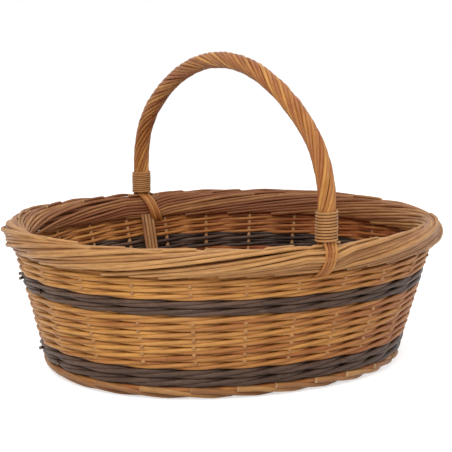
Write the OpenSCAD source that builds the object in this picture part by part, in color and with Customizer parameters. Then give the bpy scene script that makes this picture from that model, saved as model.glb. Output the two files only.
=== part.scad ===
// Oval willow trug: a woven garden basket with one fixed bow handle across its width.
// The origin is the middle of the plane it stands on. X runs along the oval, Z is up.

/* [Oval] */
// Length of the base, measured along the line of side stakes
base_len = 366; // [320:1:400]
// Width of the base, measured along the line of side stakes
base_wid = 306; // [270:1:340]
// Length of the rim, measured along the line of side stakes
rim_len = 438; // [404:1:470]
// Width of the rim, measured along the line of side stakes
rim_wid = 396; // [350:1:420]
// Squareness of the oval, where 2 is an ellipse
oval_power = 2.15; // [2:0.05:2.4]

/* [Side stakes] */
// Number of side stakes round the oval
stake_count = 24; // [18:6:30]
// Diameter of a side stake
stake_d = 5; // [4:0.1:6]
// Length of the stake's leg that is pushed into the base
stake_leg = 26; // [18:1:34]

/* [Weaving] */
// Radial thickness of a weaving rod
weaver_t = 3; // [2:0.1:3.6]
// Height of one row of three buff rods
buff_row_h = 8; // [6:0.1:10]
// Height of one row of three dark rods in the lower band
low_dark_row_h = 9.2; // [7:0.1:11]
// Height of one row of three dark rods in the upper band
top_dark_row_h = 8; // [6:0.1:10]
// Rows of dark rods above the base
low_dark_rows = 2; // [1:1:3]
// Rows of buff rods in the main band
main_rows = 7; // [5:1:8]
// Rows of dark rods in the upper band
top_dark_rows = 2; // [1:1:3]
// Rows of buff rods below the border
top_rows = 2; // [1:1:3]

/* [Border] */
// Clear height left under the border, which the handle's tails are tucked through
border_gap = 4.6; // [4.2:0.1:6]
// Height of the rolled border
border_h = 29; // [27:0.5:34]
// Thickness of the rolled border from inside to outside
border_t = 25; // [24:0.5:30]
// Diameter of a border rod
border_rod_d = 4.6; // [4:0.1:4.8]
// Number of stake spaces that one border rod runs past, an odd number
border_run = 9; // [7:2:9]
// Width of the slot left under the border for the side stakes
border_slot = 6.4; // [6:0.1:8]

/* [Base] */
// Diameter of a foot rod
foot_rod_d = 6.6; // [5:0.1:8]
// Depth of the flat worn on the underside of the lowest foot rods
foot_flat = 0.4; // [0.2:0.05:0.8]
// Thickness of the woven base
base_t = 11; // [10.6:0.1:12]
// Height of the base's underside above the ground
base_lift = 3; // [2:0.1:3.4]
// Width of one band of base weaving
base_band_w = 40; // [32:1:46]
// Number of long sticks in the base
long_sticks = 5; // [3:2:5]
// Diameter of a long base stick
long_stick_d = 4.6; // [3:0.1:5]
// Diameter of a cross base stick, which the long sticks pass through
cross_stick_d = 8; // [7:0.1:8.4]

/* [Handle] */
// Height of the bow's centre line above the ground at its crest
bow_height = 320; // [290:1:360]
// Height where the bow's straight legs end
bow_leg_top = 190; // [176:1:205]
// Radius of the bow's shoulders
bow_shoulder_r = 90; // [60:1:105]
// Diameter of the core rod inside the bow
bow_core_d = 7.6; // [7:0.1:8.4]
// Depth that the core is driven into the border
bow_sink = 12; // [8:0.5:14]
// Number of strands laid round the core
strand_count = 8; // [8:1:8]
// Diameter of a strand
strand_d = 4.6; // [4:0.1:4.7]
// Full turns that a strand makes from one foot to the other
strand_turns = 4; // [2:1:5]
// Diameter of the lashing rod
lash_d = 2.2; // [1.8:0.1:3]
// Number of turns in a lashing
lash_turns = 10; // [6:1:12]
// Diameter of a tail rod tucked round the border
tail_d = 3; // [2.4:0.1:3.4]
// Distance that the inner tails slant sideways before they are tucked
tail_slant = 15; // [8:1:17]

/* [Fit] */
// Clearance between a weaving rod and what it passes
weave_gap = 0.2; // [0.1:0.05:0.4]
// Clearance between pieces that lie against each other
seat_gap = 0.3; // [0.2:0.05:0.4]

/* [Hidden] */
buff = "#c98f57";
dark = "#5d4a40";
pale = "#d3a273";
tan = "#a8653c";
rod_sides = 5;
space = 360 / stake_count;
stick_z = base_lift + base_t / 2;
leg_z = base_lift + base_t - stake_d / 2 - 1.5;
weave_z = base_lift + base_t + seat_gap;
low_dark_z = weave_z;
main_z = low_dark_z + low_dark_rows * low_dark_row_h;
top_dark_z = main_z + main_rows * buff_row_h;
top_z = top_dark_z + top_dark_rows * top_dark_row_h;
weave_top = top_z + top_rows * buff_row_h;
border_z = weave_top + border_gap + border_h / 2;
border_top = border_z + border_h / 2;
border_ru = (border_t - border_rod_d) / 2;
border_rv = (border_h - border_rod_d) / 2;
border_part = (bow_core_d + border_rod_d) / 2 + seat_gap;
stake_top = border_z + border_rv / 2;
lean = max(rim_len - base_len, rim_wid - base_wid) / 2 / border_z;
base_edge = max(stake_d, foot_rod_d) / 2 + seat_gap;
base_bands = floor((base_wid / 2 - base_edge) / base_band_w);
cross_sticks = stake_count / 2 - long_sticks;
bow_y = wall_radius(90, border_top - border_rod_d / 2);
bow_m = bow_crown_offset();
bow_crown_r = bow_shoulder_r + bow_m[0];
bow_crown_a = bow_m[1];
bow_foot = border_top + seat_gap;
strand_r = bow_core_d / 2 + strand_d / 2 + weave_gap;
strand_foot = bow_foot + 10;
tail_r = strand_r - 1;
lash_r = strand_r + (strand_d + lash_d) / 2 + seat_gap;
lash_foot = bow_foot + lash_d + seat_gap;
lash_pitch = lash_d + weave_gap;

// Polar radius of an oval with half lengths a and b, in direction t.
function oval_radius(a, b, t) =
    pow(pow(abs(cos(t)) / a, oval_power) + pow(abs(sin(t)) / b, oval_power), -1 / oval_power);

// The wall leans outward evenly from the ground to the middle of the border.
function grow(low, high, z) = (low + (high - low) * z / border_z) / 2;
function wall_radius(t, z) = oval_radius(grow(base_len, rim_len, z), grow(base_wid, rim_wid, z), t);
function wall_xy(t, z) = wall_radius(t, z) * [cos(t), sin(t)];
function unit(v) = v / norm(v);
function outward(t, z) =
    let (along = wall_xy(t + 1, z) - wall_xy(t - 1, z))
    unit([along[1], -along[0]]);

// A point of the wall: direction t, height z, and u outward from the line of stakes.
function wall_xyu(t, z, u) = wall_xy(t, z) + u * outward(t, z);
function wall_point(t, z, u) = let (p = wall_xyu(t, z, u)) [p[0], p[1], z];
function stake_angle(k) = (k + 0.5) * space;

// Solves for the crown arc that is tangent to both shoulders and reaches the crest.
function bow_crown_offset() =
    let (rise = bow_height - bow_shoulder_r - bow_leg_top)
    let (side = bow_y - bow_shoulder_r)
    let (half = atan(rise / side))
    [side / sin(2 * half), 2 * half];

// Lengths of the bow from one foot: leg, shoulder, crown, shoulder, leg.
leg_len = bow_leg_top - strand_foot;
shoulder_len = bow_shoulder_r * (90 - bow_crown_a) * PI / 180;
crown_len = bow_crown_r * 2 * bow_crown_a * PI / 180;
bow_len = 2 * leg_len + 2 * shoulder_len + crown_len;

// A point on the bow's centre line with its outward direction, as [y, z, ny, nz].
function bow_at(s) =
    s > bow_len / 2 ? mirror_y(bow_at(bow_len - s)) :
    s < leg_len ? [bow_y, strand_foot + s, 1, 0] :
    s < leg_len + shoulder_len ?
        let (a = (s - leg_len) / bow_shoulder_r * 180 / PI)
        [bow_y - bow_shoulder_r * (1 - cos(a)), bow_leg_top + bow_shoulder_r * sin(a), cos(a), sin(a)] :
        let (a = bow_crown_a - (s - leg_len - shoulder_len) / bow_crown_r * 180 / PI)
        [bow_crown_r * sin(a), bow_height - bow_crown_r * (1 - cos(a)), sin(a), cos(a)];
function mirror_y(p) = [-p[0], p[1], -p[2], p[3]];

// The corners of a round rod swept along a path, ring after ring.
function rod_corners(path, d, sides, up) = [for (i = [0 : len(path) - 1])
    let (t = unit(path[min(i + 1, len(path) - 1)] - path[max(i - 1, 0)]))
    let (across = unit(cross(t, up)))
    let (over = cross(across, t))
    for (k = [0 : sides - 1])
        path[i] + d / 2 * (cos(360 * k / sides) * across + sin(360 * k / sides) * over)];

// The faces of a rod whose corners start at number n.
function rod_faces(rings, sides, n) = concat(
    [for (i = [0 : rings - 2], k = [0 : sides - 1])
        let (a = n + i * sides + k)
        let (b = n + i * sides + (k + 1) % sides)
        each [[a, b, b + sides], [a, b + sides, a + sides]]],
    [[for (k = [sides - 1 : -1 : 0]) n + k]],
    [[for (k = [0 : sides - 1]) n + (rings - 1) * sides + k]]
);

// Separate rods of one diameter, swept along paths with as many points each.
module rods(paths, d, sides = rod_sides, up = [0, 0, 1]) {
    rings = len(paths[0]);
    polyhedron(
        points = [for (path = paths) each rod_corners(path, d, sides, up)],
        faces = [for (i = [0 : len(paths) - 1]) each rod_faces(rings, sides, i * rings * sides)],
        convexity = 8
    );
}

// A straight rod from one point to another, round or with a few flat sides.
module straight(from, to, d, sides = 32) {
    v = to - from;
    translate(from)
        rotate([0, acos(v[2] / norm(v)), atan2(v[1], v[0])]) rotate([0, 0, 180 / sides])
            cylinder(h = norm(v), d = d, $fn = sides);
}

// Outline of the oval at height z, moved outward by u.
module oval_outline(z, u) {
    polygon([for (k = [0 : 2 * stake_count - 1]) wall_xyu(k * space / 2, z, u)]);
}

// The base sticks, or the six-sided channels that they lie in when a gap is given.
module stick(from, to, d, gap) {
    if (gap == 0)
        straight(from, to, d);
    else
        straight(from, to, (d + 2 * gap) / cos(30), 6);
}

module long_stick_shapes(gap) {
    for (k = [0 : long_sticks - 1]) {
        t = (k - (long_sticks - 1) / 2) * space;
        p = wall_xyu(t, stick_z, -base_edge - cross_stick_d / 2);
        stick([-p[0] - gap, p[1], stick_z], [p[0] + gap, p[1], stick_z], long_stick_d, gap);
    }
}

module cross_stick_shapes(gap) {
    for (k = [0 : cross_sticks - 1]) {
        t = 90 + (k - (cross_sticks - 1) / 2) * space;
        p = wall_xyu(t, stick_z, -base_edge - cross_stick_d / 2);
        stick([p[0], -p[1] - gap, stick_z], [p[0], p[1] + gap, stick_z], cross_stick_d, gap);
    }
}

module stake_leg_shapes(gap) {
    for (k = [0 : stake_count - 1]) {
        t = stake_angle(k);
        stick(wall_point(t, leg_z, -stake_leg - gap), wall_point(t, leg_z, 0), stake_d, gap);
    }
}

module long_bottom_sticks() {
    color(tan) long_stick_shapes(0);
}

module cross_bottom_sticks() {
    color(tan) difference() {
        cross_stick_shapes(0);
        long_stick_shapes(weave_gap);
    }
}

// Band k of the base weaving, counted from the edge. The last one is the middle.
module base_weave(k) {
    color(k % 2 == 0 ? buff : tan) difference() {
        translate([0, 0, base_lift]) linear_extrude(base_t) difference() {
            oval_outline(stick_z, -base_edge - k * base_band_w);
            if (k < base_bands)
                oval_outline(stick_z, -base_edge - (k + 1) * base_band_w + seat_gap);
        }
        cross_stick_shapes(weave_gap);
        long_stick_shapes(weave_gap);
        if (k == 0)
            stake_leg_shapes(weave_gap);
    }
}

// A foot rod is an arc through three points of the oval, worn flat underneath.
module foot_rod(t, z, u, flat) {
    a = wall_xyu(t, 0, u);
    b = wall_xyu(t + space, 0, u);
    c = wall_xyu(t + 2 * space, 0, u);
    d = 2 * (a[0] * (b[1] - c[1]) + b[0] * (c[1] - a[1]) + c[0] * (a[1] - b[1]));
    x = ((a * a) * (b[1] - c[1]) + (b * b) * (c[1] - a[1]) + (c * c) * (a[1] - b[1])) / d;
    y = ((a * a) * (c[0] - b[0]) + (b * b) * (a[0] - c[0]) + (c * c) * (b[0] - a[0])) / d;
    r = norm(a - [x, y]);
    from = atan2(a[1] - y, a[0] - x);
    sweep = (atan2(c[1] - y, c[0] - x) - from + 360) % 360;
    trim = seat_gap / r * 180 / PI;
    translate([x, y, z]) rotate([0, 0, from + trim])
        rotate_extrude(angle = sweep - 2 * trim, $fn = 96) translate([r, 0]) difference() {
            circle(d = foot_rod_d, $fn = 32);
            translate([-foot_rod_d / 2, -foot_rod_d / 2 - 1])
                square([foot_rod_d, 1 + flat]);
        }
}

module foot_rods_lower() {
    color(pale) for (k = [0 : 2 : stake_count - 1])
        foot_rod(k * space, foot_rod_d / 2 - foot_flat, 0, foot_flat);
}

module foot_rods_upper() {
    z = 1.5 * foot_rod_d - foot_flat + seat_gap;
    u = lean * z + (stake_d + foot_rod_d) / 2 + seat_gap;
    color(pale) for (k = [1 : 2 : stake_count - 1])
        foot_rod(k * space, z, u, 0);
}

// A stake lies in the base, turns up at the edge and leans out to the border.
module side_stakes() {
    color(tan) rods([for (k = [0 : stake_count - 1])
        let (t = stake_angle(k))
        [
            wall_point(t, leg_z, -stake_leg),
            wall_point(t, leg_z, -stake_d / 2),
            wall_point(t, leg_z + stake_d / 4, 0),
            wall_point(t, leg_z + stake_d, 0),
            wall_point(t, stake_top, 0)
        ]], stake_d, 6, up = [0.3, 0.2, 0.1]);
}

// Offset of a rod at half space i: it passes outside two stakes and inside the third.
function wale_side(k, shift) = (k + shift) % 3 == 2 ? -1 : 1;
function wale_offset(i, shift) = (wale_side(floor(i / 2), shift) + wale_side(ceil(i / 2), shift)) / 2;

// One of three rods in a row. Its two ends meet between the stakes after number first.
module wale_rod(z, h, shift, first) {
    reach = stake_d / 2 * sqrt(1 + lean * lean) + lean * h / 2 + weave_gap + weaver_t / 2;
    seam = seat_gap / rim_wid * 360 / PI;
    last = 2 * stake_count;
    steps = [for (i = [0 : last])
        let (n = i + 2 * first + 1)
        [stake_angle(n / 2) + (i == 0 ? seam : i == last ? -seam : 0), reach * wale_offset(n, shift)]];
    translate([0, 0, z]) linear_extrude(h) polygon(concat(
        [for (s = steps) wall_xyu(s[0], z + h / 2, s[1] + weaver_t / 2)],
        [for (i = [last : -1 : 0]) wall_xyu(steps[i][0], z + h / 2, steps[i][1] - weaver_t / 2)]
    ));
}

module wale_row(z, row_h, number, shade) {
    h = row_h / 3;
    color(shade) for (j = [0 : 2])
        wale_rod(z + j * h, h - weave_gap, j, 5 * number + 8 * j);
}

// Section angle of a border rod at step j of its run, 0 at the top and positive outside.
border_end = 180 - asin((border_slot + border_rod_d) / 2 / border_ru);
function border_angle(j) = border_end * (2 * j / border_run - 1);

// Rods beside the bow's core are pushed apart, and the others by the stakes aren't.
function border_push(t) =
    let (off = abs(abs((t + 360) % 360 - 180) - 90) / (space / 2))
    max(0, 1 - off) * (border_part / border_ru * 180 / PI - border_end / border_run);

module border_rods() {
    color(buff) rods([for (k = [0 : stake_count - 1])
        [for (j = [0 : 0.5 : border_run])
            let (t = (k - j) * space)
            let (a = border_angle(j))
            let (b = a + sign(a) * border_push(t))
            wall_point(t, border_z + border_rv * cos(b), border_ru * sin(b))]], border_rod_d);
}

module bow_core() {
    steps = 40;
    foot = [0, bow_y, border_top - bow_sink];
    path = [for (i = [0 : steps])
        let (p = bow_at(bow_len * i / steps))
        [0, p[0], p[1]]];
    color(tan) rods([concat([foot], path, [[0, -foot[1], foot[2]]])], bow_core_d, 8, up = [1, 0, 0]);
}

module bow_strand(k) {
    steps = 10 * strand_turns;
    path = [for (i = [0 : steps])
        let (p = bow_at(bow_len * i / steps))
        let (a = 360 * ((k + 0.5) / strand_count - strand_turns * i / steps))
        [strand_r * sin(a), p[0] + strand_r * cos(a) * p[2], p[1] + strand_r * cos(a) * p[3]]];
    color(k % 2 == 0 ? buff : tan) rods([path], strand_d, up = [1, 0, 0]);
}

// The lashing winds up the foot of the bow from just above the border.
module lashing(side) {
    color(buff) rods([[for (i = [0 : 8 * lash_turns])
        let (a = 45 * i)
        [lash_r * cos(a), side * bow_y + lash_r * sin(a), lash_foot + lash_pitch * i / 8]]], lash_d);
}

// Tails leave the foot of the bow, hug the border's outside or inside, and tuck under it.
module tails(side, face, slant) {
    count = strand_count / 2;
    ru = (border_t + tail_d) / 2 + seat_gap;
    rv = (border_h + tail_d) / 2 + seat_gap;
    color(buff) rods([for (k = [0 : count - 1])
        let (place = k - (count - 1) / 2)
        let (a = place * 360 / strand_count)
        let (y = bow_y + face * tail_r * cos(a))
        concat([[tail_r * sin(a), side * y, strand_foot - seat_gap]],
            [for (b = [25 : 20 : 165])
                let (x = place * (tail_d + seat_gap) + slant * (b - 25) / 140)
                let (t = side * (90 - atan2(x, bow_y)))
                wall_point(t, border_z + rv * cos(b), face * ru * sin(b))])],
        tail_d, up = [1, 0, 0]);
}

long_bottom_sticks();
cross_bottom_sticks();
for (k = [0 : base_bands])
    base_weave(k);
foot_rods_lower();
foot_rods_upper();
side_stakes();
for (k = [1 : low_dark_rows])
    wale_row(low_dark_z + (k - 1) * low_dark_row_h, low_dark_row_h, k, dark);
for (k = [1 : main_rows])
    wale_row(main_z + (k - 1) * buff_row_h, buff_row_h, k + 2, buff);
for (k = [1 : top_dark_rows])
    wale_row(top_dark_z + (k - 1) * top_dark_row_h, top_dark_row_h, k + 3, dark);
for (k = [1 : top_rows])
    wale_row(top_z + (k - 1) * buff_row_h, buff_row_h, k + 1, buff);
border_rods();
bow_core();
for (k = [0 : strand_count - 1])
    bow_strand(k);
lashing(1);  // back_lashing
lashing(-1);  // front_lashing
tails(1, 1, 0);  // back_outer_tails
tails(1, -1, tail_slant);  // back_inner_tails
tails(-1, 1, 0);  // front_outer_tails
tails(-1, -1, tail_slant);  // front_inner_tails
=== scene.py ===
import bpy
import numpy as np
from bpy.props import FloatProperty, FloatVectorProperty, IntProperty, PointerProperty
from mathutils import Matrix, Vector


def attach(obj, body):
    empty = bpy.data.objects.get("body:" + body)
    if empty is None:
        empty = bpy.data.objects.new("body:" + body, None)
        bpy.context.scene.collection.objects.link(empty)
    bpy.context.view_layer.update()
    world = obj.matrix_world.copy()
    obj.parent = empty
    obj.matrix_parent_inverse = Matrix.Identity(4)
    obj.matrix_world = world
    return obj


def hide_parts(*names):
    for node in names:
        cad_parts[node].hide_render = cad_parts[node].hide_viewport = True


bl_info = {
    "name": "Willow Trug Basket",
    "version": (1, 0, 0),
    "blender": (4, 5, 0),
    "location": "View3D > Sidebar > Willow",
    "description": "Dresses the CAD trug basket with woven willow rods",
    "category": "Add Mesh",
}

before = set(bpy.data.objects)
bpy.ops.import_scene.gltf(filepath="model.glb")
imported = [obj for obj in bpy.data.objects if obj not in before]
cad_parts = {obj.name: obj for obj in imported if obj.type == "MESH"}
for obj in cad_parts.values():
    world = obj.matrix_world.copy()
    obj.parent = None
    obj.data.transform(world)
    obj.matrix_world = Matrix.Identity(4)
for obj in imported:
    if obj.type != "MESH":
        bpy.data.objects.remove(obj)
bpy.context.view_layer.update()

# The part's own sizes, in metres and radians, as its source gives them.
BASE_LENGTH, BASE_WIDTH, RIM_LENGTH, RIM_WIDTH = 0.366, 0.306, 0.438, 0.396
OVAL_POWER = 2.15
STAKES = 24
SPACE = 2 * np.pi / STAKES
STAKE_R = 0.0025
WEAVE_Z, LOW_DARK_H, BUFF_H, TOP_DARK_H, TOP_H = 0.0143, 0.0092, 0.008, 0.008, 0.0071
MAIN_Z = WEAVE_Z + 2 * LOW_DARK_H
TOP_DARK_Z = MAIN_Z + 7 * BUFF_H
TOP_Z = TOP_DARK_Z + 2 * TOP_DARK_H
BORDER_Z, BORDER_RU, BORDER_RV, BORDER_RUN = 0.1398, 0.0102, 0.0122, 9
BORDER_R, BORDER_TOP = 0.0023, 0.1543
BORDER_END = np.pi - np.arcsin((0.0064 + 0.0046) / 2 / BORDER_RU)
BORDER_PART = 0.0064
BASE_MID = 0.0085
BOW_TOP, BOW_LEG_TOP, BOW_SHOULDER, BOW_CORE_R = 0.320, 0.190, 0.090, 0.0038
STRAND_FOOT, STRAND_RING, CAD_STRANDS, TURNS = 0.1646, 0.0069, 8, 4
LASH_RING, LASH_FOOT, LASH_TURNS = 0.0100, 0.1571, 10
TAIL_R, TAIL_RING, TAIL_SLANT = 0.0015, 0.0053, 0.015

# The scene's own finer work: more rows, rods and strands than the solids have.
TOP_ROWS, STRANDS, STRAND_R = 3, 12, 0.00185
OUT_WOBBLE = 0.00016
PACKING_R, PACKING_START, PACKING_WAVE, CRACK_Z = 0.0021, 0.1, 0.0003, 0.1284
CUT_END_R, CUT_END_RUN, CUT_END_RISE, CUT_END_ROOT = 0.0018, 0.42, 0.0012, -0.0045
STAKE_SWAY, KNUCKLE_SWAY = 0.0012, 0.0018
KNUCKLE_R, KNUCKLE_RISE, KNUCKLE_OUT, KNUCKLE_JITTER = 0.0024, 0.0021, 0.0052, 0.0003
LASH_R, BACK_PITCH, FRONT_PITCH = 0.00118, 0.0024, 0.0029

# Cut ends on a dark band: stake number, height above the band's foot, tip's way out.
CUT_ENDS = np.array([
    (9.3, 0.004, 0.012), (10.4, 0.011, 0.010), (11.3, 0.005, 0.009),
    (3.0, 0.005, 0.009), (21.7, 0.011, 0.010),
])

# One seed for each operator's random draws. A wall band adds its number to its seed.
SEEDS = {
    "stakes": 5, "wall": 11, "border": 23, "cut ends": 31, "foot": 41, "base": 53,
    "bow": 67, "lashings": 71,
}

# A rod's section is set out from one of these directions, which it never runs along.
UP, NEARLY_UP, SLANTED, ALONG_X = (0, 0, 1), (0.013, 0.007, 1), (0.31, 0.17, 0.09), (1, 0, 0)

# Shapes


def oval_radius(a, b, t):
    """Radius of a superellipse: (|cos t / a|^p + |sin t / b|^p) to the power -1/p."""
    return (np.abs(np.cos(t) / a) ** OVAL_POWER + np.abs(np.sin(t) / b) ** OVAL_POWER) ** (
        -1 / OVAL_POWER
    )


def wall_xy(t, z):
    """The stake line at height z: half lengths grow evenly from base to border."""
    part = z / BORDER_Z
    a = (BASE_LENGTH + (RIM_LENGTH - BASE_LENGTH) * part) / 2
    b = (BASE_WIDTH + (RIM_WIDTH - BASE_WIDTH) * part) / 2
    r = oval_radius(a, b, t)
    return np.stack([r * np.cos(t), r * np.sin(t)], -1)


def wall_point(t, z, u):
    """Stake line plus u times the outward normal, which is the tangent turned right.

    The tangent is the step between the points one degree before and after t.
    """
    t, z, u = np.broadcast_arrays(
        np.asarray(t, float), np.asarray(z, float), np.asarray(u, float)
    )
    step = np.pi / 180
    along = unit(wall_xy(t + step, z) - wall_xy(t - step, z))
    out = np.stack([along[..., 1], -along[..., 0]], -1)
    return np.concatenate([wall_xy(t, z) + u[..., None] * out, z[..., None]], -1)


def unit(v):
    """The vector divided by its length."""
    return v / np.maximum(np.linalg.norm(v, axis=-1, keepdims=True), 1e-12)


def wobble(shape, size, rng):
    """Slow sine waves along the last axis, with phases of its own for each rod.

    Size times the sum of sin(2 pi 1.7 wave s + phase) / wave, for waves 1 to 4.
    """
    s = np.linspace(0, 1, shape[-1])
    total = np.zeros(shape)
    for wave in range(1, 5):
        phase = rng.uniform(0, 2 * np.pi, shape[:-1] + (1,))
        total += np.sin(2 * np.pi * wave * 1.7 * s + phase) / wave
    return total * size


def rods(paths, radii, around, up, tints):
    """Round rods carried along paths: the corners, faces, UVs and values of their mesh.

    Corner = path + radius (cos a across + sin a over), where across and over are
    square to the path. UV = turns round the rod, metres along it. A flat cap shuts
    each end, on a ring 0.8 times as wide that stands a quarter radius further out.
    """
    lip, narrow = 0.25, 0.8
    paths = np.asarray(paths, float)
    n, m = paths.shape[:2]
    radii = np.broadcast_to(np.asarray(radii, float), (n, m))
    tangent = unit(np.gradient(paths, axis=1))
    across = unit(np.cross(tangent, np.broadcast_to(np.asarray(up, float), paths.shape)))
    over = np.cross(across, tangent)
    # Both end rings are doubled, and the outer one of each pair becomes the cap's.
    ends = [0, *range(m), m - 1]
    m += 2
    paths, across, over, tangent = (x[:, ends] for x in (paths, across, over, tangent))
    radii = radii[:, ends]
    paths[:, 0] -= tangent[:, 0] * lip * radii[:, :1]
    paths[:, -1] += tangent[:, -1] * lip * radii[:, -1:]
    radii[:, [0, -1]] *= narrow
    a = np.arange(around) / around * 2 * np.pi
    ring = (
        np.cos(a)[:, None] * across[:, :, None] + np.sin(a)[:, None] * over[:, :, None]
    )
    corners = paths[:, :, None] + radii[:, :, None, None] * ring
    number = np.arange(n * m * around).reshape(n, m, around)
    beside = np.roll(number, -1, axis=2)
    quads = np.stack([number[:, :-1], number[:, 1:], beside[:, 1:], beside[:, :-1]], -1)
    caps = np.concatenate([number[:, 0], number[:, -1, ::-1]])
    steps = np.linalg.norm(np.diff(paths, axis=1), axis=2)
    length = np.pad(np.cumsum(steps, 1), ((0, 0), (1, 0)))
    turn = np.arange(around + 1) / around
    u0, u1, v0, v1 = np.broadcast_arrays(
        turn[:-1], turn[1:], length[:, :-1, None], length[:, 1:, None]
    )
    uv = np.stack(
        [np.stack(pair, -1) for pair in ((u0, v0), (u0, v1), (u1, v1), (u1, v0))], -2
    )
    cut = np.zeros((n, m, around))
    cut[:, [0, -1]] = 1
    tint = np.broadcast_to(np.asarray(tints, float)[:, None, None], cut.shape)
    return {
        "corners": corners.reshape(-1, 3),
        "quads": quads.reshape(-1, 4),
        "caps": caps,
        "uv": uv.reshape(-1, 2),
        "tint": tint.reshape(-1),
        "cut": cut.reshape(-1),
        # No painted shade unless a caller sets it.
        "painted_shade": np.zeros(cut.size),
    }


def piece(name, parts, material, nodes):
    """Makes one mesh object from rod sets, parents it to the root body, and hides the CAD nodes it
    stands for.
    """
    start, faces, uv = 0, [], []
    for part in parts:
        faces += (part["quads"] + start).tolist() + (part["caps"] + start).tolist()
        uv += [part["uv"], np.zeros((part["caps"].size, 2))]
        start += len(part["corners"])
    mesh = bpy.data.meshes.new(name)
    corners = np.concatenate([part["corners"] for part in parts])
    mesh.from_pydata(corners.tolist(), [], faces)
    layer = mesh.uv_layers.new(name="grain")
    layer.data.foreach_set("uv", np.concatenate(uv).ravel())
    # The painted shade travels as a point attribute beside tint and cut.
    for key in ("tint", "cut", "painted_shade"):
        attribute = mesh.attributes.new(key, "FLOAT", "POINT")
        attribute.data.foreach_set("value", np.concatenate([part[key] for part in parts]))
    # The sides are smooth and the caps, which have more than four corners, are flat.
    mesh.polygons.foreach_set("use_smooth", [len(face) == 4 for face in faces])
    mesh.materials.append(material)
    mesh.update()
    obj = bpy.data.objects.new(name, mesh)
    bpy.context.scene.collection.objects.link(obj)
    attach(obj, "root")
    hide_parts(*nodes)
    return obj


# Materials


class Value:
    """Wraps a socket. An operator on it adds the Math node that works it out."""

    def __init__(self, tree, socket):
        self.tree, self.socket = tree, socket

    def output(self, place):
        """Another output of the same node, by its name or number."""
        return Value(self.tree, self.socket.node.outputs[place])

    def maths(self, operation, *others):
        """Adds the Math node of that operation on Values and numbers."""
        node = self.tree.nodes.new("ShaderNodeMath")
        node.operation = operation
        for place, value in enumerate(others):
            if isinstance(value, Value):
                self.tree.links.new(value.socket, node.inputs[place])
            else:
                node.inputs[place].default_value = value
        return Value(self.tree, node.outputs[0])

    def __add__(self, other):
        return self.maths("ADD", self, other)

    def __sub__(self, other):
        return self.maths("SUBTRACT", self, other)

    def __rsub__(self, other):
        return self.maths("SUBTRACT", other, self)

    def __mul__(self, other):
        return self.maths("MULTIPLY", self, other)

    def __mod__(self, other):
        return self.maths("FLOORED_MODULO", self, other)

    def __rmod__(self, other):
        return self.maths("FLOORED_MODULO", other, self)

    def __lt__(self, other):
        return self.maths("LESS_THAN", self, other)

    def __gt__(self, other):
        return self.maths("GREATER_THAN", self, other)

    __radd__ = __add__
    __rmul__ = __mul__


class Nodes:
    """An emptied node tree, whose nodes are added one by one."""

    def __init__(self, tree):
        self.tree = tree
        self.tree.nodes.clear()

    def add(self, kind, settings=None, inputs=None, output=0):
        """Adds a node: settings first, then values or links by socket name or number."""
        node = self.tree.nodes.new(kind)
        for name, value in (settings or {}).items():
            setattr(node, name, value)
        for name, value in (inputs or {}).items():
            if isinstance(value, Value):
                self.tree.links.new(value.socket, node.inputs[name])
            else:
                node.inputs[name].default_value = value
        return Value(self.tree, node.outputs[output]) if node.outputs else None

    def blend(self, factor, first, second):
        """Colour mix, from the first colour at 0 to the second at 1."""
        return self.add(
            "ShaderNodeMix", {"data_type": "RGBA"}, {0: factor, 6: first, 7: second}, output=2
        )

    def noise(self, values, waves, detail, roughness=0.5):
        """Noise from 0 to 1, at a place of two or three Values times their waves."""
        place = self.add(
            "ShaderNodeCombineXYZ",
            inputs={n: value * wave for n, (value, wave) in enumerate(zip(values, waves))},
        )
        return self.add(
            "ShaderNodeTexNoise",
            {"noise_dimensions": f"{len(values)}D"},
            {"Vector": place, "Scale": 1.0, "Detail": detail, "Roughness": roughness},
        )


def new_material(name):
    """A material and its emptied node tree."""
    material = bpy.data.materials.new(name)
    material.use_nodes = True
    return material, Nodes(material.node_tree)


# Waves of the patterns on a rod: the stain's per metre and by tint, the others' per
# turn round the rod too. Then how each pattern is weighed, and its colours.
STAIN_WAVES, STREAK_WAVES, RUB_WAVES = (22.0, 90.0), (9.0, 60.0, 70.0), (3.0, 120.0, 40.0)
TINT_SHARE, STAIN_SHARE, PALENESS = 0.72, 0.8, 0.26
STREAK_FROM, STREAK_GAIN, STREAK_DARKNESS = 0.40, 1.6, 0.52
RUB_FROM, RUB_GAIN = 0.56, 5.0
BUD_SPACING, BUD_SHIFT, BUD_WIDTH, BUD_STRENGTH = 0.083, 0.31, 0.0012, 0.22
CUT_STRENGTH, BUMP_STRENGTH, BUMP_DEPTH, SHINE, STREAK_ROUGHNESS = 0.8, 0.35, 0.0006, 0.25, 0.25
BUD_COLOUR = (0.045, 0.026, 0.015, 1)
RUB_COLOUR = (0.17, 0.11, 0.075, 1)
BUFF_HEART, BARK_HEART = (0.62, 0.45, 0.25, 1), (0.16, 0.11, 0.075, 1)


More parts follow.
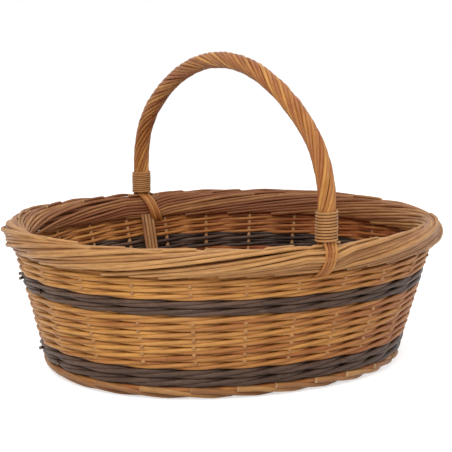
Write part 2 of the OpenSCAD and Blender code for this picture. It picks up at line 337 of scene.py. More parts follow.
def willow(name, pale, deep, rough, bark=0.0):
    """Willow rods: each rod's own tint, streaks along the grain, buds and cut ends.

    colour = pale to deep by 0.72 tint + 0.8 stain - 0.26 + painted_shade, which is painted shade;
    streaks and bud rings darken it, and cut ends show the heart. bark is how strongly pale rubs break
    it.
    """
    material, nodes = new_material(name)
    tint, cut, painted_shade = (
        nodes.add("ShaderNodeAttribute", {"attribute_name": key}, output=2)
        for key in ("tint", "cut", "painted_shade")
    )
    grain = nodes.add("ShaderNodeUVMap", {"uv_map": "grain"})
    turn = nodes.add("ShaderNodeSeparateXYZ", inputs={0: grain})
    along = turn.output(1)
    stain = nodes.noise((along, tint), STAIN_WAVES, 2.0)
    streak = nodes.noise((turn, along, tint), STREAK_WAVES, 3.0, 0.6)
    bud_ring = (along + tint * BUD_SHIFT) % BUD_SPACING < BUD_WIDTH
    bud = bud_ring * (0.35 + 0.65 * tint)
    # Painted shade: the painted_shade value moves the colour towards the deep end, redder and darker.
    amount = tint * TINT_SHARE + stain * STAIN_SHARE - PALENESS + painted_shade
    body = nodes.blend(
        nodes.add("ShaderNodeClamp", inputs={0: amount}), (*pale, 1), (*deep, 1)
    )
    dark_streak = (*(STREAK_DARKNESS * part for part in deep), 1)
    streaky = nodes.blend((streak - STREAK_FROM) * STREAK_GAIN, body, dark_streak)
    if bark:
        rub = nodes.noise((turn, along, tint), RUB_WAVES, 4.0)
        patch = nodes.add("ShaderNodeClamp", inputs={0: (rub - RUB_FROM) * RUB_GAIN})
        streaky = nodes.blend(patch * bark, streaky, RUB_COLOUR)
    budded = nodes.blend(bud * BUD_STRENGTH, streaky, BUD_COLOUR)
    colour = nodes.blend(cut * CUT_STRENGTH, budded, BARK_HEART if bark else BUFF_HEART)
    height = streak * 0.7 + bud * 1.2 + stain * 0.3
    bump = nodes.add(
        "ShaderNodeBump",
        inputs={"Strength": BUMP_STRENGTH, "Distance": BUMP_DEPTH, "Height": height},
    )
    shader = nodes.add(
        "ShaderNodeBsdfPrincipled",
        inputs={
            "Base Color": colour,
            "Roughness": rough + (streak - 0.5) * STREAK_ROUGHNESS,
            "Normal": bump,
            "Specular IOR Level": SHINE,
        },
    )
    nodes.add("ShaderNodeOutputMaterial", inputs={"Surface": shader})
    return material


# Settings


class BasketSizes(bpy.types.PropertyGroup):
    """Rod sizes that can be changed without moving the basket's form."""

    weaver: FloatProperty(
        name="Weaver", description="Thickness of the wall's weaving rods",
        default=0.0043, min=0.002, max=0.0045, unit="LENGTH")
    foot_rod: FloatProperty(
        name="Foot rod", description="Thickness of the rods round the foot",
        default=0.0064, min=0.004, max=0.0068, unit="LENGTH")
    base_rows: IntProperty(
        name="Base rows", description="Number of woven ovals in the base",
        default=42, min=20, max=60)


class BasketColours(bpy.types.PropertyGroup):
    """Pale and deep colour of each kind of rod."""

    buff_pale: FloatVectorProperty(
        name="Buff, pale", description="Boiled and stripped willow, light rods",
        subtype="COLOR", default=(0.62, 0.300, 0.075))
    buff_deep: FloatVectorProperty(
        name="Buff, deep", description="Boiled and stripped willow, dark rods",
        subtype="COLOR", default=(0.29, 0.080, 0.022))
    bark_pale: FloatVectorProperty(
        name="Bark, pale", description="Brown willow with its bark, light rods",
        subtype="COLOR", default=(0.125, 0.068, 0.044))
    bark_deep: FloatVectorProperty(
        name="Bark, deep", description="Brown willow with its bark, dark rods",
        subtype="COLOR", default=(0.030, 0.015, 0.010))
    border_pale: FloatVectorProperty(
        name="Border, pale", description="Rods of the rolled border, light ones",
        subtype="COLOR", default=(0.56, 0.290, 0.100))
    border_deep: FloatVectorProperty(
        name="Border, deep", description="Rods of the rolled border, dark ones",
        subtype="COLOR", default=(0.235, 0.082, 0.030))


def sizes():
    """The rod sizes that the panel sets."""
    return bpy.context.scene.basket_sizes


FOOT_PALE, FOOT_DEEP = (0.50, 0.25, 0.085), (0.25, 0.095, 0.032)
STAKE_PALE, STAKE_DEEP = (0.52, 0.27, 0.10), (0.26, 0.10, 0.036)


def finish_for(kind):
    """The material of a kind of rod, made once: pale, deep, how rough, how much bark."""
    name = kind + "_willow_rods"
    if name in bpy.data.materials:
        return bpy.data.materials[name]
    chosen = bpy.context.scene.basket_colours
    pale, deep, rough, bark = {
        "buff": (chosen.buff_pale, chosen.buff_deep, 0.46, 0.0),
        "bark": (chosen.bark_pale, chosen.bark_deep, 0.5, 0.55),
        "border": (chosen.border_pale, chosen.border_deep, 0.48, 0.0),
        "foot": (FOOT_PALE, FOOT_DEEP, 0.5, 0.0),
        "stake": (STAKE_PALE, STAKE_DEEP, 0.5, 0.0),
    }[kind]
    return willow(name, tuple(pale), tuple(deep), rough, bark)


# Wall

# A waling rod's way over three stakes, by half spaces, as shares of its full swing:
# outside of two stakes, low and then high, and inside of the third.
KNOT = np.arange(7) / 2
KNOT_OUT = np.array([1.0, 0.9, 1.0, 0.0, -1.0, 0.0, 1.0])
KNOT_UP = np.array([-1.0, 0.0, 1.0, 1.0, 0.0, -1.0, -1.0])
# Half the stretch that rounds a bend, in spaces, and then a rod's rise as a share of the
# row's height, its lap in spaces, how far its ends go in, its clearance and its taper.
BEND = 0.24
WALE_RISE, WALE_LAP, WALE_END, WALE_CLEARANCE, WALE_TAPER = 0.265, 0.42, 0.0006, 0.0001, 0.12
# Painted shade: how much redder and darker the inside and the right end are, and the depth and reach of
# that.
INNER_PAINTED_SHADE, RIGHT_PAINTED_SHADE, PAINTED_SHADE_DEPTH, PAINTED_SHADE_REACH = 0.20, 0.25, 0.004, 0.2
HALF_RING = STAKES // 2


def wale_wave(s, values):
    """Straight lines between the knots, averaged over 0.48 spaces to round the bends."""
    spread = np.linspace(-BEND, BEND, 7)
    return np.mean([np.interp((s + d) % 3, KNOT, values) for d in spread], 0)


def wale_rods(z, row_h, count, seed):
    """Rods of count rows, three rods to a row, each in two lengths.

    Point = wall at (t, row's middle + up, out): up = 0.265 row heights times the
    up-wave, out = (stake radius + rod radius + 0.1 mm) times the out-wave, each with
    a wobble of size 0.16 mm. The radius falls by 0.12 times from the thick end.
    """
    rng = np.random.default_rng(seed)
    rod_r = sizes().weaver / 2 * row_h / BUFF_H
    rows, rod, half = (
        x.ravel() for x in np.meshgrid(range(count), range(3), range(2), indexing="ij")
    )
    # This draw isn't used. It keeps the draws that follow it in their order.
    rng.integers(0, 8, len(rows))
    start = 2 - rod + HALF_RING * half + 3 * ((5 * rows + seed) % 4)
    span = np.linspace(-WALE_LAP, HALF_RING + WALE_LAP, 105)
    k = start[:, None] + span
    wave = k + rod[:, None]
    up = wale_wave(wave, KNOT_UP) * WALE_RISE * row_h + wobble(k.shape, OUT_WOBBLE, rng)
    out = wale_wave(wave, KNOT_OUT) * (STAKE_R + rod_r + WALE_CLEARANCE)
    out = out + wobble(k.shape, OUT_WOBBLE, rng)
    # Both ends of a rod lie a little further in, over half a space.
    out -= np.clip(1 - np.minimum(span - span[0], span[-1] - span) / 0.5, 0, 1) * WALE_END
    height = z + (rows[:, None] + 0.5) * row_h + up
    butt = rng.uniform(1.02, 1.12, (len(rows), 1))
    taper = np.linspace(0, 1, len(span))[None]
    radii = rod_r * (butt - WALE_TAPER * np.where(half[:, None] > 0, taper, 1 - taper))
    paths = wall_point((k + 0.5) * SPACE, height, out)
    made = rods(paths, radii, 8, UP, rng.beta(1.6, 1.9, len(rows)))
    # Painted shade: redder and darker inside the wall and towards the right end.
    made["painted_shade"] = wall_painted_shade(made["corners"])
    return made


def wall_painted_shade(corners):
    """How much redder a corner is: inside of the wall, and towards the right end.

    The redness is painted shade: 0.20 times (depth inside the stake line / 4 mm + 0.3, from 0 to 1),
    plus 0.25 times (x / 0.2 m, from -1 to 1).
    """
    x, y, z = corners.T
    inside = np.linalg.norm(wall_xy(np.arctan2(y, x), z), axis=1) - np.hypot(x, y)
    deep = np.clip(inside / PAINTED_SHADE_DEPTH + 0.3, 0, 1)
    return deep * INNER_PAINTED_SHADE + RIGHT_PAINTED_SHADE * np.clip(x / PAINTED_SHADE_REACH, -1, 1)


def packing_rods(heights):
    """Thin rods beaten down between the rows: a ring on the stake line at each height.

    Point = wall at (t + 0.1, height, 0.3 mm times sin 24 t), t once round the oval.
    """
    t = np.linspace(0, 2 * np.pi, STAKES * 8 + 1)[None]
    out = PACKING_WAVE * np.sin(STAKES * t)
    paths = wall_point(t + PACKING_START, np.asarray(heights)[:, None], out)
    made = rods(paths, PACKING_R, 6, UP, np.full(len(heights), 0.7))
    # Painted shade: redder and darker inside the wall and towards the right end.
    made["painted_shade"] = wall_painted_shade(made["corners"])
    return made


def cut_ends(z, seed):
    """Cut ends that stand out between the stakes: straight rods, angled outward.

    Point = wall at (stake + 0.42 s spaces, height + 1.2 mm times s, from 4.5 mm inside
    to the tip's way out), with s from 0 to 1.
    """
    rng = np.random.default_rng(seed)
    stake, height, tip = CUT_ENDS.T[..., None]
    s = np.linspace(0, 1, 5)[None]
    t = (stake + 0.5 + CUT_END_RUN * s) * SPACE
    out = CUT_END_ROOT + (tip - CUT_END_ROOT) * s
    paths = wall_point(t, z + height + CUT_END_RISE * s, out)
    return rods(paths, CUT_END_R, 8, UP, rng.uniform(0, 1, len(stake)))


class WILLOW_OT_wall(bpy.types.Operator):
    """Weave the wall's plain and dark bands"""

    bl_idname = "willow.wall"
    bl_label = "Wall"

    def execute(self, context):
        bands = (
            ("main_wale", MAIN_Z, BUFF_H, 7, "buff"),
            ("top_wale", TOP_Z, TOP_H, TOP_ROWS, "buff"),
            ("low_dark_wale", WEAVE_Z, LOW_DARK_H, 2, "bark"),
            ("top_dark_wale", TOP_DARK_Z, TOP_DARK_H, 2, "bark"),
        )
        # One more thin rod closes the crack under the border, and one that at the foot.
        cracks = {"top_wale": [CRACK_Z], "low_dark_wale": [WEAVE_Z]}
        for number, (name, z, row_h, count, kind) in enumerate(bands):
            parts = [
                wale_rods(z, row_h, count, SEEDS["wall"] + number),
                packing_rods(z + row_h * np.arange(1, count + 1)),
            ]
            if kind == "bark":
                parts.append(cut_ends(z, SEEDS["cut ends"] + number))
            if name in cracks:
                parts.append(packing_rods(cracks[name]))
            slot = "dark_willow" if kind == "bark" else "buff_willow"
            nodes = [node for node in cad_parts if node.startswith(name)]
            piece(name + "_rods", parts, finish_for(kind), nodes)
        return {"FINISHED"}


class WILLOW_OT_stakes(bpy.types.Operator):
    """Set the upright stakes in the base and lean them out to the border"""

    bl_idname = "willow.stakes"
    bl_label = "Stakes"

    def execute(self, context):
        """Each stake lies in the base, bends up at the foot and follows the wall."""
        rng = np.random.default_rng(SEEDS["stakes"])
        z = np.array([0.0100, 0.0100, 0.0105, 0.0125, 0.0160, 0.05, 0.09, 0.125, 0.1450])
        u = np.array([-0.026, -0.006, -0.0022, 0, 0, 0, 0, 0, 0])
        taper = np.array([1, 1, 1, 1, 1, 0.98, 0.94, 0.9, 0.86])
        t = (np.arange(STAKES)[:, None] + 0.5) * SPACE
        paths = wall_point(t + wobble((STAKES, len(z)), STAKE_SWAY, rng), z, u)
        stakes = rods(paths, taper * STAKE_R, 10, SLANTED, rng.uniform(0, 0.5, STAKES))
        parts = [stakes, self.knuckles(rng)]
        piece("stakes", parts, finish_for("stake"), ["side_stakes"])
        return {"FINISHED"}

    def knuckles(self, rng):
        """Where two rows meet, a stake bulges out between them: a short upright swelling.

        radius = 2.4 mm times the root of 1 - h squared, h from -0.92 to 0.92 up it.
        """
        seams = np.concatenate(
            [MAIN_Z + BUFF_H * np.arange(1, 7), TOP_Z + TOP_H * np.arange(1, TOP_ROWS)])
        k, z = (x.ravel()[:, None] for x in np.meshgrid(np.arange(STAKES), seams))
        h = np.linspace(-0.92, 0.92, 6)[None]
        t = (k + 0.5) * SPACE + KNUCKLE_SWAY * rng.normal(size=k.shape)
        height = z + KNUCKLE_RISE * h + KNUCKLE_JITTER * rng.normal(size=k.shape)
        out = KNUCKLE_OUT + KNUCKLE_JITTER * rng.normal(size=k.shape)
        radii = KNUCKLE_R * np.sqrt(1 - h * h)
        tints = rng.uniform(0, 0.5, k.size)
        return rods(wall_point(t, height, out), radii, 8, SLANTED, tints)


# Border

# How far from the bow, in degrees, the rods part; how far they wander, in spaces and in
# metres; how long and how high the top rods lie, and how far from the ends they start.
BOW_ROOM, RUN_WANDER, OUT_WANDER = 7.5, 0.24, 0.0008
TOP_RUN, TOP_LIFT, TIP_LIFT, TIP_LENGTH, END_ROOM = 3.9, 0.0031, 0.0028, 0.15, 0.7
FILLING_R, FILLING_RU, FILLING_RV, FILLING_TURN = 0.0031, 0.0046, 0.0058, 0.4


def border_paths(k, steps, swell=0.0, drift=0.0):
    """A border rod: it winds round the border's section as it runs back 9 spaces.

    Point = wall at (t, border_z + rv cos b, ru sin b), with t = (k - steps + drift)
    spaces and rv and ru made larger by swell. The section angle b grows evenly from
    -end to end, and within 7.5 degrees of the bow it is pushed away from 0.
    """
    t = (k - steps + drift) * SPACE
    a = BORDER_END * (2 * steps / BORDER_RUN - 1)
    from_bow = np.abs(np.abs((np.degrees(t) + 360) % 360 - 180) - 90) / BOW_ROOM
    push = np.maximum(0, 1 - from_bow) * (BORDER_PART / BORDER_RU - BORDER_END / BORDER_RUN)
    b = a + np.sign(a) * push
    return wall_point(
        t, BORDER_Z + (BORDER_RV + swell) * np.cos(b), (BORDER_RU + swell) * np.sin(b)
    )


class WILLOW_OT_border(bpy.types.Operator):
    """Roll the border down over the stakes"""

    bl_idname = "willow.border"
    bl_label = "Border"

    def execute(self, context):
        rng = np.random.default_rng(SEEDS["border"])
        line = np.linspace(0, 1, 64)
        parts = [self.whole_rods(rng, line), self.top_rods(rng, line), self.filling()]
        for part in parts:
            # Painted shade: the back and the right of the roll are coloured redder and darker.
            x, y = part["corners"][:, 0], part["corners"][:, 1]
            part["painted_shade"] = 0.35 * np.clip(y / 0.15, -0.3, 1) + 0.15 * np.clip(x / 0.2, -1, 1)
        piece("border_roll", parts, finish_for("border"), ["border_rods"])
        return {"FINISHED"}

    def whole_rods(self, rng, line):
        """A border rod starts at every half space, and wanders most at its middle."""
        start = np.arange(0, 2 * STAKES) / 2
        # The two half rods that would cross the bow's core are left out.
        start = start[(start != 10.5) & (start != 22.5)][:, None]
        shape = (len(start), len(line))
        steps = BORDER_RUN * line + wobble(shape, RUN_WANDER, rng) * np.sin(np.pi * line)
        paths = border_paths(start, steps, wobble(shape, OUT_WANDER, rng))
        radii = BORDER_R * (0.92 - 0.12 * np.abs(line - 0.5))
        radii = radii * rng.uniform(0.78, 1.04, start.shape)
        return rods(paths, radii, 10, NEARLY_UP, rng.beta(0.8, 1.0, len(start)))

    def top_rods(self, rng, line):
        """Rods that lie over the others for 3.9 spaces, with a cut tip that points on.

        Lift = 3.1 mm times (1.9 sin(1.12 pi (1 - s)), from 0 to 1), s along the rod, and
        at least 2.8 mm up to s = 0.15.
        """
        start = np.arange(24) + rng.uniform(0.1, 0.9, 24)
        # Rods that start within 0.7 spaces of the basket's two ends are left out.
        start = start[np.abs((start + 6) % 12 - 6) > END_ROOM][:, None]
        begin = rng.uniform(3.4, 4.6, start.shape)
        rise = np.sin(np.pi * np.clip(1.12 * (1 - line), 0, 1)) * 1.9
        lift = np.maximum(TOP_LIFT * np.clip(rise, 0, 1), TIP_LIFT * (line < TIP_LENGTH))
        drift = rng.uniform(-0.9, 0.5, start.shape) * line
        paths = border_paths(start + begin, begin + TOP_RUN * line, lift, drift)
        radii = BORDER_R * (0.70 + 0.2 * line) * rng.uniform(0.85, 1.05, start.shape)
        return rods(paths, radii, 10, NEARLY_UP, rng.uniform(0, 0.7, len(start)))

    def filling(self):
        """Six rods inside the roll, where the stakes' ends run round.

        Point = wall at (t, border_z + 5.8 mm cos a, 4.6 mm sin a), with a sixth of a
        turn from one rod to the next.
        """
        a = np.arange(6)[:, None] * np.pi / 3 + FILLING_TURN
        t = np.linspace(0, 2 * np.pi, 145)[None]
        paths = wall_point(t, BORDER_Z + FILLING_RV * np.cos(a), FILLING_RU * np.sin(a))
        return rods(paths, FILLING_R, 6, NEARLY_UP, np.full(6, 0.9))


# Foot and base

# The run and lap of a foot rod are in spaces. The ovals' turn is in radians, and their
# swing is the height of the wave that the limit cuts off. The sticks end inside the wall.
FOOT_RUN, FOOT_LAP, FLOOR_CLEARANCE = 1.95, 0.16, 0.0001
OVAL_IN, OVAL_TURN, OVAL_SWING, OVAL_LIMIT, OVAL_R = 0.003, 0.35, 0.0048, 0.0036, 0.00185
BINDING_R, CROSS_STICK_R, LONG_STICK_R, STICK_END = 0.0026, 0.0040, 0.0023, -0.0076


class WILLOW_OT_foot(bpy.types.Operator):
    """Lay the foot's rods like shingles round the base"""

    bl_idname = "willow.foot"
    bl_label = "Foot"

    def execute(self, context):
        """Each rod runs on for 1.95 spaces, from outside and above to inside and below."""
        rng = np.random.default_rng(SEEDS["foot"])
        s = np.linspace(0, FOOT_RUN, 34)
        start = np.arange(STAKES)[:, None] - FOOT_LAP + rng.uniform(-0.05, 0.05, (STAKES, 1))
        at = [0, 0.5, 1.0, 1.5, FOOT_RUN]
        z = self.rounded(np.interp(s, at, [0.0112, 0.0100, 0.0064, 0.0036, 0.0033]))
        u = self.rounded(np.interp(s, at, [0.0052, 0.0050, 0.0034, 0.0002, -0.0060]))
        radii = sizes().foot_rod / 2 * (1.04 - 0.16 * s / FOOT_RUN)
        radii = radii * rng.uniform(0.95, 1.0, (STAKES, 1))
        z = np.maximum(z, radii + FLOOR_CLEARANCE)
        paths = wall_point((start + 0.5 + s) * SPACE, z, u)
        parts = [rods(paths, radii, 12, UP, rng.uniform(0, 1, STAKES))]
        piece("foot_rods", parts, finish_for("foot"),
              ["foot_rods_lower", "foot_rods_upper"])
        return {"FINISHED"}

    def rounded(self, values):
        """Each value becomes the bell-weighted mean of the nine round it."""
        bell = np.hanning(9)
        return np.convolve(np.pad(values, 4, mode="edge"), bell / bell.sum(), "valid")


class WILLOW_OT_base(bpy.types.Operator):
    """Weave the base round its sticks"""

    bl_idname = "willow.base"
    bl_label = "Base"

    def execute(self, context):
        rng = np.random.default_rng(SEEDS["base"])
        parts = [self.ovals(rng), self.binding()]
        nodes = [f"base_weave_{k}" for k in range(1, 5)]
        piece("base_weaving", parts, finish_for("buff"), nodes)
        cross = self.sticks(np.pi / 2, 1, CROSS_STICK_R, 12, rng.uniform(0, 0.6, 7))
        piece("cross_sticks", [cross], finish_for("stake"), ["cross_bottom_sticks"])
        long = self.sticks(0, 0, LONG_STICK_R, 10, rng.uniform(0, 0.6, 5))
        piece("long_sticks", [long], finish_for("stake"), ["long_bottom_sticks"])
        return {"FINISHED"}

    def ovals(self, rng):
        """Pairs of ovals of one size, one over and one under, that change places.

        Height = middle of the base + 4.8 mm times sin(12 times the turn), cut off at
        3.6 mm, upside down for a pair's other oval and for every second pair.
        """
        rows = sizes().base_rows
        number = np.arange(rows)[:, None]
        scale = (number + 0.8) / (rows + 0.6)
        ring = np.arange(0, 157) / 156 * 2 * np.pi
        t = ring + OVAL_TURN * scale
        r = oval_radius(BASE_LENGTH / 2 - OVAL_IN, BASE_WIDTH / 2 - OVAL_IN, t) * scale
        rise = np.clip(OVAL_SWING * np.sin(STAKES / 2 * ring), -OVAL_LIMIT, OVAL_LIMIT)
        rise = rise * np.where(number % 2 == 0, 1, -1)
        paths = np.concatenate([
            np.stack([r * np.cos(t), r * np.sin(t), BASE_MID + side * rise], -1)
            for side in (-1, 1)
        ])
        return rods(paths, OVAL_R, 6, UP, rng.uniform(0, 1, 2 * rows))

    def binding(self):
        """Two rods that close the corner between the base and the wall."""
        t = np.linspace(0, 2 * np.pi, 193)[None]
        z, u = np.array([[0.0124], [0.0114]]), np.array([[-0.0034], [0.0030]])
        return rods(wall_point(t, z, u), BINDING_R, 8, UP, [0.4, 0.8])

    def sticks(self, middle, axis, radius, around, tints):
        """Straight sticks over the base, side by side, one to each space.

        Point = a point of the base's edge, with its x (axis 0) or y (axis 1) times s,
        for s from -1 to 1.
        """
        place = np.arange(len(tints)) - len(tints) // 2
        edge = wall_point(place * SPACE + middle, BASE_MID, STICK_END)
        share = np.ones((9, 3))
        share[:, axis] = np.linspace(-1, 1, 9)
        return rods(edge[:, None] * share, radius, around, UP, tints)


# Bow

# The core starts below the border's top. The twist's wobble is in radians, and the
# thickness's is a share. Tails run between two angles of the border's section, in
# degrees, and slant evenly over another.
CORE_SUNK, TWIST_WOBBLE, RING_WOBBLE, THICKNESS_WOBBLE = 0.012, 0.05, 0.00025, 0.03
LINER_R, LINER_TOP, LINER_OUT, LINER_LEAN, LINER_TURN_R = 0.0018, 0.132, -0.0082, 0.0008, 0.19
LASH_WOBBLE = 0.00012
TAIL_FIRST, TAIL_LAST, SLANT_OVER, OUTER_SLANT = 25, 168, 140, -0.004
TAIL_GAP, TAIL_APART = 0.0003, 0.0004


def bow_solve():
    """The foot's y, and the radius and half angle of the crown, tangent to the shoulders.

    Half angle = 2 atan(rise / side), radius = shoulder's + side / sin(half angle),
    where rise and side go from the shoulder's centre to the top and the middle.
    """
    foot_y = wall_xy(np.array(np.pi / 2), BORDER_TOP - BORDER_R)[1]
    rise = BOW_TOP - BOW_SHOULDER - BOW_LEG_TOP
    side = foot_y - BOW_SHOULDER
    half = np.arctan(rise / side)
    return foot_y, BOW_SHOULDER + side / np.sin(2 * half), 2 * half


def bow_line(s, foot_z):
    """Points and normals of the bow for s from 0 to 1: leg, shoulder, crown and back.

    A straight leg, an arc of the shoulder's radius, and half the crown's arc, by their
    lengths. The second half of the bow is the first one with y turned round.
    """
    foot_y, crown_r, crown_a = bow_solve()
    leg = BOW_LEG_TOP - foot_z
    shoulder = BOW_SHOULDER * (np.pi / 2 - crown_a)
    total = 2 * leg + 2 * shoulder + 2 * crown_r * crown_a
    d = s * total
    mirror = np.where(d > total / 2, -1.0, 1.0)
    d = np.where(d > total / 2, total - d, d)
    a = np.clip((d - leg) / BOW_SHOULDER, 0, np.pi / 2 - crown_a)
    c = np.clip(crown_a - (d - leg - shoulder) / crown_r, 0, crown_a)
    stretch = [d < leg, d < leg + shoulder]
    y = np.select(stretch, [foot_y, foot_y - BOW_SHOULDER * (1 - np.cos(a))], crown_r * np.sin(c))
    z = np.select(
        stretch, [foot_z + d, BOW_LEG_TOP + BOW_SHOULDER * np.sin(a)],
        BOW_TOP - crown_r * (1 - np.cos(c)))
    normal_y = np.select(stretch, [1.0, np.cos(a)], np.sin(c))
    normal_z = np.select(stretch, [0.0, np.sin(a)], np.cos(c))
    point = np.stack([0 * y, mirror * y, z], -1)
    normal = np.stack([0 * y, mirror * normal_y, normal_z], -1)
    return point, normal


class WILLOW_OT_bow(bpy.types.Operator):
    """Twist the handle's rods round its core"""

    bl_idname = "willow.bow"
    bl_label = "Bow handle"

    def execute(self, context):
        rng = np.random.default_rng(SEEDS["bow"])
        point, _ = bow_line(np.linspace(0, 1, 80)[None], BORDER_TOP - CORE_SUNK)
        parts = [rods(point, BOW_CORE_R, 14, ALONG_X, [0.4]), self.liners(rng)]
        piece("bow_core_rod", parts, finish_for("stake"), ["bow_core"])
        nodes = [f"bow_strand_{n + 1}" for n in range(CAD_STRANDS)]
        piece("bow_twist", [self.twist(rng)], finish_for("buff"), nodes)
        return {"FINISHED"}

    def twist(self, rng):
        """Strands laid round the core, which make four turns from foot to foot.

        Point = bow + ring radius (sin a x + cos a normal), a = 2 pi ((k + 0.5) / 12 - 4 s).
        """
        s = np.linspace(0, 1, 260)[None]
        shape = (STRANDS, s.size)
        point, normal = bow_line(s, STRAND_FOOT)
        k = np.arange(STRANDS)[:, None]
        a = 2 * np.pi * ((k + 0.5) / STRANDS - TURNS * s) + wobble(shape, TWIST_WOBBLE, rng)
        ring = STRAND_RING + wobble(shape, RING_WOBBLE, rng)
        around = np.sin(a)[..., None] * np.array(ALONG_X) + np.cos(a)[..., None] * normal
        radii = STRAND_R * (1 + wobble(shape, THICKNESS_WOBBLE, rng))
        tints = rng.uniform(0, 1, STRANDS)
        return rods(point + ring[..., None] * around, radii, 12, ALONG_X, tints)

    def liners(self, rng):
        """Rods that run on down inside the weave below each foot, four and two.

        Point = wall at (foot + place / 190 mm, 132 mm less 70 to 82 mm times h, 8.2 mm
        inside and 0.8 mm more times h), with h from 0 to 1.
        """
        foot = np.array([np.pi / 2] * 4 + [-np.pi / 2] * 2)[:, None]
        place = np.array([-0.0063, -0.0021, 0.0021, 0.0063, -0.0021, 0.0021])[:, None]
        h = np.linspace(0, 1, 9)[None]
        z = LINER_TOP - (0.070 + 0.012 * rng.uniform(size=place.shape)) * h
        paths = wall_point(foot + place / LINER_TURN_R, z, LINER_OUT - LINER_LEAN * h)
        return rods(paths, LINER_R, 8, ALONG_X, rng.uniform(0.3, 1, len(place)))


class WILLOW_OT_lashings(bpy.types.Operator):
    """Bind the feet of the bow and lead its tails over the border"""

    bl_idname = "willow.lashings"
    bl_label = "Lashings and tails"

    def execute(self, context):
        rng = np.random.default_rng(SEEDS["lashings"])
        foot_y = bow_solve()[0]
        for name, side, pitch in (("back", 1, BACK_PITCH), ("front", -1, FRONT_PITCH)):
            lashing = self.lashing(side * foot_y, pitch, rng)
            piece(name + "_lashing_rod", [lashing], finish_for("border"),
                  [name + "_lashing"])
            for face, word in ((1, "outer"), (-1, "inner")):
                tails = self.tails(side, foot_y, face, rng)
                piece(f"{name}_{word}_tail_rods", [tails], finish_for("buff"),
                      [f"{name}_{word}_tails"])
        return {"FINISHED"}

    def lashing(self, y, pitch, rng):
        """A helix round the bow's foot: ring radius (cos a, sin a), pitch times turns up."""
        turn = np.linspace(0, LASH_TURNS, 24 * LASH_TURNS + 1)[None]
        a = 2 * np.pi * turn
        ring = LASH_RING + wobble(a.shape, LASH_WOBBLE, rng)
        path = np.stack([ring * np.cos(a), y + ring * np.sin(a), LASH_FOOT + pitch * turn], -1)
        return rods(path, LASH_R, 8, UP, [0.35])

    def tails(self, side, foot_y, face, rng):
        """Four rods from the bow's foot, round the border's section, tucked below it.

        Each goes straight from its strand's foot to the border, and then round it at
        wall (t, border_z + rv cos b, ru sin b), with b from 25 to 168 degrees.
        """
        clear = BORDER_R + TAIL_R + TAIL_GAP
        ru, rv = BORDER_RU + clear, BORDER_RV + clear
        place = np.arange(4)[:, None] - 1.5
        b = np.radians(np.linspace(TAIL_FIRST, TAIL_LAST, 30))[None]
        slant = TAIL_SLANT if face < 0 else OUTER_SLANT
        x = place * (2 * TAIL_R + TAIL_APART) + slant * (np.degrees(b) - TAIL_FIRST) / SLANT_OVER
        t = side * (np.pi / 2 - np.arctan2(x, foot_y))
        hug = wall_point(t, BORDER_Z + rv * np.cos(b), face * ru * np.sin(b))
        a = place * 2 * np.pi / CAD_STRANDS
        top = np.stack(
            [TAIL_RING * np.sin(a), side * (foot_y + face * TAIL_RING * np.cos(a)),
             0 * a + STRAND_FOOT], -1)
        share = np.linspace(0, 1, 8)[None, :-1, None]
        path = np.concatenate([top + (hug[:, :1] - top) * share, hug], 1)
        # Two passes of neighbour averaging round the bend on to the border.
        for _ in range(2):
            path[:, 1:-1] = (path[:, :-2] + 2 * path[:, 1:-1] + path[:, 2:]) / 4
        return rods(path, TAIL_R * 1.05, 8, ALONG_X, rng.uniform(0.2, 1, len(place)))


# Stage

# The camera, as fitted to the photograph's outline: degrees, metres and millimetres.
CAMERA_AZIMUTH, CAMERA_ELEVATION, CAMERA_DISTANCE = -28.72, 9.09, 1.558
CAMERA_LENS, CAMERA_SENSOR, CAMERA_SHIFT = 116.5, 36.0, (0.0054, 0.0084)
CAMERA_AIM, LAMP_AIM = Vector((0, 0, 0.14)), Vector((0, 0, 0.12))

# Each soft lamp's place, side and power.
LAMPS = {
    "key_softbox": ((-1.3, -1.5, 1.7), 1.3, 38),
    "fill_softbox": ((1.8, -0.9, 1.2), 1.6, 9),
    "top_softbox": ((0.1, 0.3, 2.2), 1.6, 13),
}
FLOOR_HALF, FLOOR_GREY, FLOOR_GLOW, ROOM_LIGHT = 12.0, 0.82, 0.62, 0.50


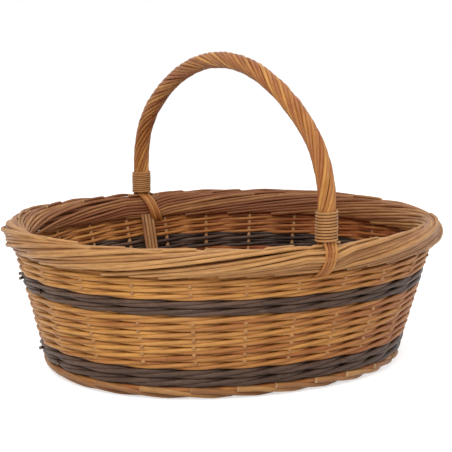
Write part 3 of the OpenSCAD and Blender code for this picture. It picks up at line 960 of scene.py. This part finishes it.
class WILLOW_OT_stage(bpy.types.Operator):
    """Set the floor, the soft lights and the camera of the photograph"""

    bl_idname = "willow.stage"
    bl_label = "Stage"

    def execute(self, context):
        self.camera()
        self.floor()
        self.world()
        for name, (place, size, power) in LAMPS.items():
            self.lamp(name, place, size, power)
        bpy.context.scene.view_settings.view_transform = "Standard"
        return {"FINISHED"}

    def camera(self):
        """A long lens that looks at the basket's middle from the photograph's side."""
        azimuth, height = np.radians(CAMERA_AZIMUTH), np.radians(CAMERA_ELEVATION)
        back = Vector(
            (np.sin(azimuth) * np.cos(height), -np.cos(azimuth) * np.cos(height), np.sin(height)))
        data = bpy.data.cameras.new("photo_camera")
        data.lens, data.sensor_width = CAMERA_LENS, CAMERA_SENSOR
        data.shift_x, data.shift_y = CAMERA_SHIFT
        camera = bpy.data.objects.new("photo_camera", data)
        camera.location = CAMERA_AIM + CAMERA_DISTANCE * back
        camera.rotation_euler = back.to_track_quat("Z", "Y").to_euler()
        bpy.context.scene.collection.objects.link(camera)
        bpy.context.scene.camera = camera

    def floor(self):
        """A wide pale square that keeps the shadow and looks white to the camera."""
        material, nodes = new_material("pale_floor")
        camera_ray = nodes.add("ShaderNodeLightPath")
        seen = nodes.add(
            "ShaderNodeClamp", inputs={0: camera_ray + camera_ray.output("Is Glossy Ray")})
        grey = (FLOOR_GREY, FLOOR_GREY, FLOOR_GREY, 1)
        plain = nodes.add("ShaderNodeBsdfDiffuse", inputs={"Color": grey})
        glow = nodes.add(
            "ShaderNodeEmission", inputs={"Color": (1, 1, 1, 1), "Strength": seen * FLOOR_GLOW})
        both = nodes.add("ShaderNodeAddShader", inputs={0: plain, 1: glow})
        nodes.add("ShaderNodeOutputMaterial", inputs={"Surface": both})
        mesh = bpy.data.meshes.new("floor")
        corners = [(x * FLOOR_HALF, y * FLOOR_HALF, 0) for x, y in ((-1, -1), (1, -1), (1, 1), (-1, 1))]
        mesh.from_pydata(corners, [], [(0, 1, 2, 3)])
        mesh.materials.append(material)
        floor = bpy.data.objects.new("floor", mesh)
        bpy.context.scene.collection.objects.link(floor)

    def world(self):
        """A pale grey room that the camera sees as white."""
        world = bpy.data.worlds.new("studio")
        bpy.context.scene.world = world
        world.use_nodes = True
        nodes = Nodes(world.node_tree)
        camera_ray = nodes.add("ShaderNodeLightPath")
        seen = camera_ray + camera_ray.output("Is Glossy Ray")
        seen = seen + camera_ray.output("Is Transmission Ray")
        strength = ROOM_LIGHT + (1 - ROOM_LIGHT) * seen.maths("MINIMUM", seen, 1.0)
        background = nodes.add(
            "ShaderNodeBackground", inputs={"Color": (1, 1, 1, 1), "Strength": strength})
        nodes.add("ShaderNodeOutputWorld", inputs={"Surface": background})

    def lamp(self, name, place, size, power):
        """A square soft lamp at place, turned to the basket."""
        data = bpy.data.lights.new(name, "AREA")
        data.shape, data.size, data.energy = "SQUARE", size, power
        lamp = bpy.data.objects.new(name, data)
        lamp.location = place
        lamp.rotation_euler = (Vector(place) - LAMP_AIM).to_track_quat("Z", "Y").to_euler()
        bpy.context.scene.collection.objects.link(lamp)


class WILLOW_PT_panel(bpy.types.Panel):
    """Sizes, colours and pieces of the basket"""

    bl_idname = "WILLOW_PT_panel"
    bl_label = "Willow Trug Basket"
    bl_space_type = "VIEW_3D"
    bl_region_type = "UI"
    bl_category = "Willow"

    def draw(self, context):
        column = self.layout.column()
        for group in (context.scene.basket_sizes, context.scene.basket_colours):
            for name in group.__annotations__:
                column.prop(group, name)
        for step in STEPS:
            column.operator(step.bl_idname)


STEPS = (
    WILLOW_OT_stage, WILLOW_OT_stakes, WILLOW_OT_wall, WILLOW_OT_border,
    WILLOW_OT_foot, WILLOW_OT_base, WILLOW_OT_bow, WILLOW_OT_lashings,
)
CLASSES = (BasketSizes, BasketColours, *STEPS, WILLOW_PT_panel)


def register():
    for kind in CLASSES:
        bpy.utils.register_class(kind)
    bpy.types.Scene.basket_sizes = PointerProperty(type=BasketSizes)
    bpy.types.Scene.basket_colours = PointerProperty(type=BasketColours)


def unregister():
    del bpy.types.Scene.basket_colours
    del bpy.types.Scene.basket_sizes
    for kind in reversed(CLASSES):
        bpy.utils.unregister_class(kind)


def main():
    register()
    for step in STEPS:
        group, name = step.bl_idname.split(".")
        getattr(getattr(bpy.ops, group), name)()


if __name__ == "__main__":
    main()
